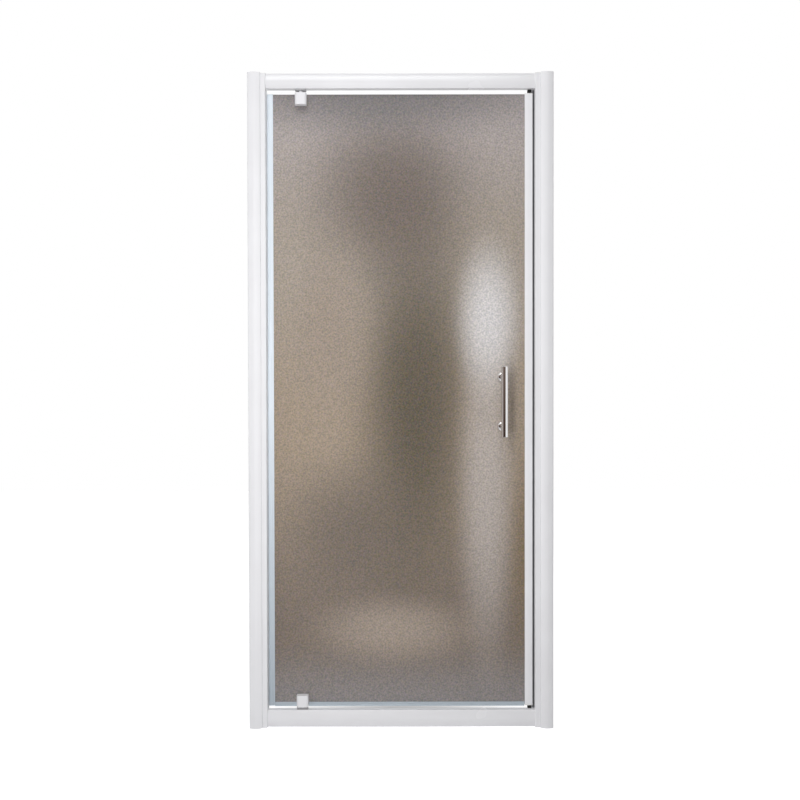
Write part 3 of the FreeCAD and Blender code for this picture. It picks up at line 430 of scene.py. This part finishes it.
# ---------------------------------------------------------------- socket screws
# The bushes, clamps, handle caps and wall profiles are held by stainless socket screws:
# a turned shank and a conical or domed head, with a hexagonal socket pressed into it.
HEAD_SIDES = 32
SOCKET_SIDES = 6
SHANK_SIDES = 24
screw_tree = bpy.data.node_groups.new("socket_screw", "GeometryNodeTree")
sockets = screw_tree.interface
sockets.new_socket("Geometry", in_out="INPUT", socket_type="NodeSocketGeometry")
for label in (
    "Low Radius", "High Radius", "Head Height", "Head Base", "Shank Radius", "Shank Length",
    "Socket Radius", "Socket Depth",
):
    sockets.new_socket(label, in_out="INPUT", socket_type="NodeSocketFloat")
sockets.new_socket("Turn", in_out="INPUT", socket_type="NodeSocketVector")
sockets.new_socket("Finish", in_out="INPUT", socket_type="NodeSocketMaterial")
sockets.new_socket("Geometry", in_out="OUTPUT", socket_type="NodeSocketGeometry")
tree_nodes, tree_links = screw_tree.nodes, screw_tree.links
given = tree_nodes.new("NodeGroupInput")


def screw_math(a, b, operation):
    """Two numbers of the screw combined; each is a socket or a plain number."""
    node = tree_nodes.new("ShaderNodeMath")
    node.operation = operation
    for slot_in, value in zip(node.inputs, (a, b)):
        if isinstance(value, float):
            slot_in.default_value = value
        else:
            tree_links.new(value, slot_in)
    return node.outputs["Value"]


def screw_lift(mesh, height):
    """A mesh of the screw raised along its axis."""
    axis = tree_nodes.new("ShaderNodeCombineXYZ")
    tree_links.new(height, axis.inputs["Z"])
    raised = tree_nodes.new("GeometryNodeTransform")
    tree_links.new(mesh, raised.inputs["Geometry"])
    tree_links.new(axis.outputs["Vector"], raised.inputs["Translation"])
    return raised.outputs["Geometry"]


head = tree_nodes.new("GeometryNodeMeshCone")
head.inputs["Vertices"].default_value = HEAD_SIDES
tree_links.new(given.outputs["High Radius"], head.inputs["Radius Top"])
tree_links.new(given.outputs["Low Radius"], head.inputs["Radius Bottom"])
tree_links.new(given.outputs["Head Height"], head.inputs["Depth"])
head_placed = screw_lift(head.outputs["Mesh"], given.outputs["Head Base"])
socket = tree_nodes.new("GeometryNodeMeshCylinder")
socket.inputs["Vertices"].default_value = SOCKET_SIDES
tree_links.new(given.outputs["Socket Radius"], socket.inputs["Radius"])
twice_deep = screw_math(given.outputs["Socket Depth"], 2.0, "MULTIPLY")
tree_links.new(twice_deep, socket.inputs["Depth"])
head_top = screw_math(given.outputs["Head Base"], given.outputs["Head Height"], "ADD")
socket_placed = screw_lift(socket.outputs["Mesh"], head_top)
hollowed = tree_nodes.new("GeometryNodeMeshBoolean")
hollowed.operation = "DIFFERENCE"
tree_links.new(head_placed, hollowed.inputs["Mesh 1"])
tree_links.new(socket_placed, hollowed.inputs["Mesh 2"])
shank = tree_nodes.new("GeometryNodeMeshCylinder")
shank.inputs["Vertices"].default_value = SHANK_SIDES
tree_links.new(given.outputs["Shank Radius"], shank.inputs["Radius"])
tree_links.new(given.outputs["Shank Length"], shank.inputs["Depth"])
half_down = screw_math(given.outputs["Shank Length"], -0.5, "MULTIPLY")
shank_placed = screw_lift(
    shank.outputs["Mesh"], screw_math(given.outputs["Head Base"], half_down, "ADD")
)
whole = tree_nodes.new("GeometryNodeJoinGeometry")
tree_links.new(hollowed.outputs["Mesh"], whole.inputs["Geometry"])
tree_links.new(shank_placed, whole.inputs["Geometry"])
spread = tree_nodes.new("GeometryNodeInstanceOnPoints")
tree_links.new(given.outputs["Geometry"], spread.inputs["Points"])
tree_links.new(whole.outputs["Geometry"], spread.inputs["Instance"])
tree_links.new(given.outputs["Turn"], spread.inputs["Rotation"])
real = tree_nodes.new("GeometryNodeRealizeInstances")
tree_links.new(spread.outputs["Instances"], real.inputs["Geometry"])
finished = tree_nodes.new("GeometryNodeSetMaterial")
tree_links.new(real.outputs["Geometry"], finished.inputs["Geometry"])
tree_links.new(given.outputs["Finish"], finished.inputs["Material"])
result = tree_nodes.new("NodeGroupOutput")
tree_links.new(finished.outputs["Geometry"], result.inputs["Geometry"])


def socket_screws(name, body, nodes_replaced, places, turn, sizes):
    """Like screws at the given places, heads towards turned +Z, made into one piece."""
    points = bpy.data.meshes.new(name + "_places")
    points.from_pydata(places, [], [])
    rig = bpy.data.objects.new(name + "_places", points)
    bpy.context.scene.collection.objects.link(rig)
    screws = rig.modifiers.new("screws", "NODES")
    screws.node_group = screw_tree
    values = dict(sizes, Turn=turn, Finish=plain_steel)
    for item in screw_tree.interface.items_tree:
        if item.item_type == "SOCKET" and item.in_out == "INPUT" and item.name in values:
            screws[item.identifier] = values[item.name]
    evaluated = rig.evaluated_get(bpy.context.evaluated_depsgraph_get())
    mesh = bpy.data.meshes.new_from_object(evaluated)
    mesh.name = name
    bpy.data.objects.remove(rig)
    bpy.data.meshes.remove(points)
    piece = bpy.data.objects.new(name, mesh)
    bpy.context.scene.collection.objects.link(piece)
    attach(piece, body)
    if nodes_replaced:
        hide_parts(*nodes_replaced)


def countersunk(head_radius, head_height, shank_radius, length, socket_radius, socket_depth):
    return {
        "Low Radius": shank_radius, "High Radius": head_radius, "Head Height": head_height,
        "Head Base": -head_height, "Shank Radius": shank_radius,
        "Shank Length": length - head_height, "Socket Radius": socket_radius,
        "Socket Depth": socket_depth,
    }


PIVOT_X = -0.2815
HANDLE_X = 0.2895
CLAMP_SIDE = 0.009
BUSH_SIDE = 0.0115
CLAMP_HEAD_Y = 0.0225
HANDLE_HEAD_Y = 0.0213
LOCK_HEAD_Y = 0.0223
LOCK_X = 0.4195
FACE_UP = (0, 0, 0)
FACE_DOWN = (math.radians(180), 0, 0)
FACE_INSIDE = (math.radians(-90), 0, 0)
socket_screws(
    "clamp_socket_screws", "door", ["clamp_screws"],
    [
        (PIVOT_X + dx, CLAMP_HEAD_Y, z)
        for z in (0.074, 1.7805) for dx in (-CLAMP_SIDE, CLAMP_SIDE)
    ],
    FACE_INSIDE,
    countersunk(
        head_radius=0.0048, head_height=0.0026, shank_radius=0.0025, length=0.024,
        socket_radius=0.0017, socket_depth=0.0015,
    ),
)
socket_screws(
    "handle_socket_screws", "door", ["handle_screws"],
    [(HANDLE_X, HANDLE_HEAD_Y, z) for z in (0.8535, 0.9945)], FACE_INSIDE,
    countersunk(
        head_radius=0.0046, head_height=0.0025, shank_radius=0.0025, length=0.0256,
        socket_radius=0.0017, socket_depth=0.0015,
    ),
)
bush_sizes = countersunk(
    head_radius=0.0032, head_height=0.0017, shank_radius=0.00175, length=0.012,
    socket_radius=0.0012, socket_depth=0.0010,
)
for name, replaced, z, turn in (
    ("bottom_bush_screws", ["bush_screws"], 0.053, FACE_UP),
    ("top_bush_screws", [], 1.803, FACE_DOWN),
):
    places = [(PIVOT_X + dx, 0, z) for dx in (-BUSH_SIDE, BUSH_SIDE)]
    socket_screws(name, "frame", replaced, places, turn, bush_sizes)
domed = {
    "Low Radius": 0.0040, "High Radius": 0.0031, "Head Height": 0.0024, "Head Base": 0.0,
    "Shank Radius": 0.0020, "Shank Length": 0.011, "Socket Radius": 0.0015,
    "Socket Depth": 0.0014,
}
for side, sign in (("left", -1), ("right", 1)):
    socket_screws(
        side + "_lock_socket_screws", "frame", [side + "_lock_screws"],
        [(sign * LOCK_X, LOCK_HEAD_Y, z) for z in (0.200, 0.925, 1.650)],
        FACE_INSIDE, domed,
    )

# ---------------------------------------------------------------- handle
# Round bar on two posts with domed rosettes, turned in brass, polished and chrome plated.
# The caps on the inside of the glass have the same finish.
handle_chrome = steel("handle_chrome", (0.86, 0.85, 0.85), 0.05)
for node in ("handle_bar", "handle_inner_caps"):
    dress(node, handle_chrome)
ROSETTE_RADIUS = 0.0155
ROSETTE_RIM = 0.0012
RIM_ROUNDING = 0.0004
DOME_HEIGHT = 0.0098
DOME_STEPS = 12
NECK_RADIUS = 0.006
NECK_START = 0.001
POST_SIDES = 64
FLAT_RING = 0.999


def handle_post(node):
    """Domed rosette on the glass, with a neck that runs into the bar."""
    low, high = (Vector(corner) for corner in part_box(node))
    middle_z = (low.z + high.z) / 2
    middle_x = (low.x + high.x) / 2
    reach = high.y - low.y
    profile = [
        (0.0, 0.0), (ROSETTE_RADIUS - RIM_ROUNDING, 0.0), (ROSETTE_RADIUS, RIM_ROUNDING),
    ]
    for step in range(DOME_STEPS + 1):
        angle = math.radians(90) * step / DOME_STEPS
        radius = NECK_RADIUS + (ROSETTE_RADIUS - NECK_RADIUS) * math.cos(angle)
        profile.append((radius, ROSETTE_RIM + (DOME_HEIGHT - ROSETTE_RIM) * math.sin(angle)))
    profile += [(NECK_RADIUS, DOME_HEIGHT + NECK_START), (NECK_RADIUS, reach), (0.0, reach)]
    turned = bmesh.new()
    rings = []
    for radius, rise in profile:
        y = high.y - rise
        if radius == 0.0:
            rings.append([turned.verts.new((middle_x, y, middle_z))])
            continue
        rings.append([
            turned.verts.new((
                middle_x + radius * math.cos(2 * math.pi * i / POST_SIDES), y,
                middle_z + radius * math.sin(2 * math.pi * i / POST_SIDES),
            ))
            for i in range(POST_SIDES)
        ])
    for first, second in zip(rings, rings[1:]):
        for i in range(POST_SIDES):
            j = (i + 1) % POST_SIDES
            corners = (first[i % len(first)], first[j % len(first)],
                       second[j % len(second)], second[i % len(second)])
            turned.faces.new(list(dict.fromkeys(corners)))
    bmesh.ops.recalc_face_normals(turned, faces=turned.faces)
    for face in turned.faces:
        face.smooth = abs(face.normal.y) < FLAT_RING
    mesh = bpy.data.meshes.new(node + "_domed")
    turned.to_mesh(mesh)
    turned.free()
    mesh.materials.append(handle_chrome)
    piece = bpy.data.objects.new(node + "_domed", mesh)
    bpy.context.scene.collection.objects.link(piece)
    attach(piece, "door")
    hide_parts(node)


handle_post("lower_handle_post")
handle_post("upper_handle_post")

# ---------------------------------------------------------------- floor, light and camera
# The door stands on a pale floor with a painted shadow behind the leaf, under a soft sky that
# is stronger on the left, with three soft lamps in front and one behind. Polished metal
# also mirrors a dark card behind the camera.
FLOOR_GLOW_SEEN = 0.80
FLOOR_GLOW_PAINTED_SHADOW = 0.02
FLOOR_GLOW_UNSEEN = 0.25
SKY_LEFT = 0.50
SKY_RIGHT = 0.11
SKY_SEEN = 1.0
PAINTED_SHADOW_PLACE = (0, 0.09, 0)
PAINTED_SHADOW_SPREAD = (0.48, 0.13, 1)


def looked_at(nodes, links):
    """One for rays straight from the camera or through clear material, else nought."""
    ray = nodes.new("ShaderNodeLightPath")
    seen = nodes.new("ShaderNodeMath")
    seen.operation = "MAXIMUM"
    links.new(ray.outputs["Is Camera Ray"], seen.inputs[0])
    links.new(ray.outputs["Is Transmission Ray"], seen.inputs[1])
    return seen.outputs["Value"]


floor_mesh = bpy.data.meshes.new("floor")
floor_mesh.from_pydata([(-6, -6, 0), (6, -6, 0), (6, 6, 0), (-6, 6, 0)], [], [(0, 1, 2, 3)])
floor = bpy.data.objects.new("floor", floor_mesh)
bpy.context.scene.collection.objects.link(floor)
paint = bpy.data.materials.new("pale_floor")
paint.use_nodes = True
nodes, links = paint.node_tree.nodes, paint.node_tree.links
shader = nodes["Principled BSDF"]
shader.inputs["Base Color"].default_value = (0.62, 0.62, 0.63, 1)
shader.inputs["Roughness"].default_value = 0.9
glow = nodes.new("ShaderNodeMapRange")
links.new(looked_at(nodes, links), glow.inputs["Value"])
glow.inputs["To Min"].default_value = FLOOR_GLOW_UNSEEN
# Painted shadow: the floor's glow is lowered in a soft ellipse behind the leaf.
spot = nodes.new("ShaderNodeTexCoord")
behind = nodes.new("ShaderNodeMapping")
behind.vector_type = "TEXTURE"
behind.inputs["Location"].default_value = PAINTED_SHADOW_PLACE
behind.inputs["Scale"].default_value = PAINTED_SHADOW_SPREAD
links.new(spot.outputs["Object"], behind.inputs["Vector"])
shadow = nodes.new("ShaderNodeTexGradient")
shadow.gradient_type = "SPHERICAL"
links.new(behind.outputs["Vector"], shadow.inputs["Vector"])
painted_shadow_level = nodes.new("ShaderNodeMapRange")
painted_shadow_level.interpolation_type = "SMOOTHSTEP"
painted_shadow_level.inputs["From Max"].default_value = 0.75
painted_shadow_level.inputs["To Min"].default_value = FLOOR_GLOW_SEEN
painted_shadow_level.inputs["To Max"].default_value = FLOOR_GLOW_PAINTED_SHADOW
links.new(shadow.outputs["Fac"], painted_shadow_level.inputs["Value"])
links.new(painted_shadow_level.outputs["Result"], glow.inputs["To Max"])
shader.inputs["Emission Color"].default_value = (1, 1, 1, 1)
links.new(glow.outputs["Result"], shader.inputs["Emission Strength"])
floor_mesh.materials.append(paint)

world = bpy.data.worlds.new("soft_sky")
bpy.context.scene.world = world
world.use_nodes = True
nodes, links = world.node_tree.nodes, world.node_tree.links
sky = nodes["Background"]
sky.inputs["Color"].default_value = (1, 1, 1, 1)
ray = nodes.new("ShaderNodeLightPath")
mirrored = nodes.new("ShaderNodeMath")
mirrored.operation = "MAXIMUM"
links.new(looked_at(nodes, links), mirrored.inputs[0])
links.new(ray.outputs["Is Glossy Ray"], mirrored.inputs[1])
level = nodes.new("ShaderNodeMapRange")
way = nodes.new("ShaderNodeTexCoord")
along = nodes.new("ShaderNodeSeparateXYZ")
links.new(way.outputs["Generated"], along.inputs["Vector"])
sided = nodes.new("ShaderNodeMapRange")
sided.inputs["From Min"].default_value = -1.0
sided.inputs["To Min"].default_value = SKY_LEFT
sided.inputs["To Max"].default_value = SKY_RIGHT
links.new(along.outputs["X"], sided.inputs["Value"])
links.new(sided.outputs["Result"], level.inputs["To Min"])
level.inputs["To Max"].default_value = SKY_SEEN
links.new(mirrored.outputs["Value"], level.inputs["Value"])
links.new(level.outputs["Result"], sky.inputs["Strength"])


def soft_lamp(name, place, aim, size, watts, mirrored):
    light = bpy.data.lights.new(name, "AREA")
    light.shape = "RECTANGLE"
    light.size, light.size_y = size
    light.energy = watts
    obj = bpy.data.objects.new(name, light)
    bpy.context.scene.collection.objects.link(obj)
    obj.location = place
    obj.rotation_euler = (Vector(aim) - Vector(place)).to_track_quat("-Z", "Y").to_euler()
    obj.visible_glossy = mirrored


soft_lamp("high_lamp", (-0.3, -1.7, 3.3), (0, 0, 1.2), (1.6, 1.2), 24, mirrored=True)
soft_lamp(
    "middle_lamp", (-0.20, -1.05, 1.03), (-0.16, 0, 0.97), (0.3, 1.7), 8.6, mirrored=False,
)
soft_lamp("right_lamp", (0.40, -1.5, 1.26), (0.1, 0, 1.1), (0.18, 0.9), 0.6, mirrored=False)
soft_lamp("back_lamp", (0.3, 2.4, 2.0), (0, 0, 1.0), (1.6, 1.2), 16, mirrored=False)

CARD_MIDDLE_X = 0.29
CARD_REACH = 3.6
CARD_START = -95
CARD_SWEEP = 124
CARD_STEPS = 32
CARD_LOW = 0.02
CARD_HIGH = 2.4
card_mesh = bpy.data.meshes.new("dark_card")
feet = []
for step in range(CARD_STEPS + 1):
    bearing = math.radians(CARD_START + step * CARD_SWEEP / CARD_STEPS)
    x = CARD_MIDDLE_X + CARD_REACH * math.sin(bearing)
    feet.append((x, -CARD_REACH * math.cos(bearing)))
card_mesh.from_pydata(
    [(x, y, z) for z in (CARD_LOW, CARD_HIGH) for x, y in feet], [],
    [(i, i + 1, i + CARD_STEPS + 2, i + CARD_STEPS + 1) for i in range(CARD_STEPS)],
)
card = bpy.data.objects.new("dark_card", card_mesh)
bpy.context.scene.collection.objects.link(card)
cloth = bpy.data.materials.new("dark_cloth")
cloth.use_nodes = True
nodes, links = cloth.node_tree.nodes, cloth.node_tree.links
nodes.remove(nodes["Principled BSDF"])
surface = nodes.new("ShaderNodeEmission")
links.new(surface.outputs["Emission"], nodes["Material Output"].inputs["Surface"])
where = nodes.new("ShaderNodeTexCoord")
parts = nodes.new("ShaderNodeSeparateXYZ")
links.new(where.outputs["Object"], parts.inputs["Vector"])
rise = nodes.new("ShaderNodeMapRange")
rise.inputs["From Min"].default_value = 0.60
rise.inputs["From Max"].default_value = 1.15
links.new(parts.outputs["Z"], rise.inputs["Value"])
brown = nodes.new("ShaderNodeValToRGB")
brown.color_ramp.elements[0].color = (0.045, 0.025, 0.020, 1)
brown.color_ramp.elements[1].color = (0.17, 0.125, 0.105, 1)
links.new(rise.outputs["Result"], brown.inputs["Fac"])
aside = nodes.new("ShaderNodeMapRange")
aside.inputs["From Min"].default_value = -2.3
aside.inputs["From Max"].default_value = -2.8
links.new(parts.outputs["X"], aside.inputs["Value"])
paler = nodes.new("ShaderNodeMix")
paler.data_type = "RGBA"
paler.inputs["B"].default_value = (0.48, 0.43, 0.41, 1)
links.new(aside.outputs["Result"], paler.inputs["Factor"])
links.new(brown.outputs["Color"], paler.inputs["A"])
links.new(paler.outputs["Result"], surface.inputs["Color"])
card_mesh.materials.append(cloth)
card.visible_camera = False
card.visible_diffuse = False
card.visible_transmission = False
card.visible_shadow = False

FOCAL_PIXELS = 925.0
PICTURE_PIXELS = 800.0
SENSOR_WIDTH = 36.0
CAMERA_TILT = 0.77
CAMERA_ROLL = 0.105
camera_data = bpy.data.cameras.new("camera")
camera_data.sensor_width = SENSOR_WIDTH
camera_data.lens = FOCAL_PIXELS * SENSOR_WIDTH / PICTURE_PIXELS
camera = bpy.data.objects.new("camera", camera_data)
bpy.context.scene.collection.objects.link(camera)
camera.location = (-0.0024, -2.626, 0.9645)
camera.rotation_euler = (math.radians(90 - CAMERA_TILT), math.radians(CAMERA_ROLL), 0)
bpy.context.scene.camera = camera
bpy.context.scene.view_settings.view_transform = "Standard"
